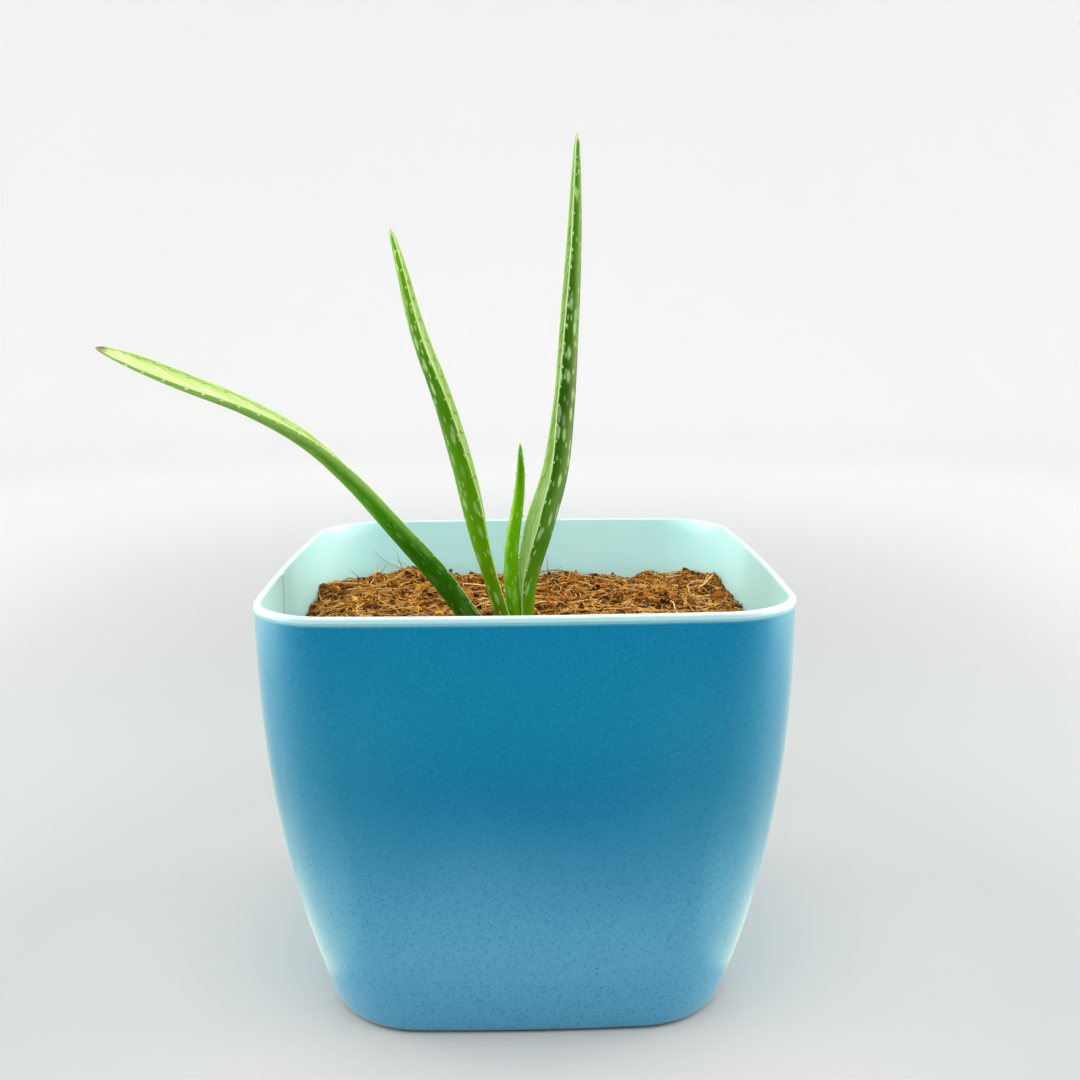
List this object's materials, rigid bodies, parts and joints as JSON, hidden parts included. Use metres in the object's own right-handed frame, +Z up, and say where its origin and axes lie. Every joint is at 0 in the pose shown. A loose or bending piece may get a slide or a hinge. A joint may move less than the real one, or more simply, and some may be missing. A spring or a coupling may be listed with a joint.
{
  "type": "potted aloe vera",
  "caption": "Young aloe vera with slim channelled leaves and toothed edges, standing in coir in a square round-cornered plastic planter that narrows to its base.",
  "frame": {"origin": "middle of the planter's base, on the surface it stands on", "axes": "+Z up; -Y is the front, as pictured; +X to the right; the leaves fan out along X"},
  "size_m": [0.2494, 0.2, 0.3437],
  "materials": {
    "planter_plastic": "fine-grained matte outside, smooth inside and on the lip",
    "coir": "rough fibrous crumbs",
    "stem_flesh": "dry and fibrous",
    "leaf_flesh": "satin, with pale spots and pale toothed edges"
  },
  "bodies": {
    "root": {"pot": "planter_plastic", "soil": "coir", "stem": "stem_flesh", "leaf_left": "leaf_flesh", "leaf_middle": "leaf_flesh", "leaf_small": "leaf_flesh", "leaf_right": "leaf_flesh"}
  },
  "joints": []
}
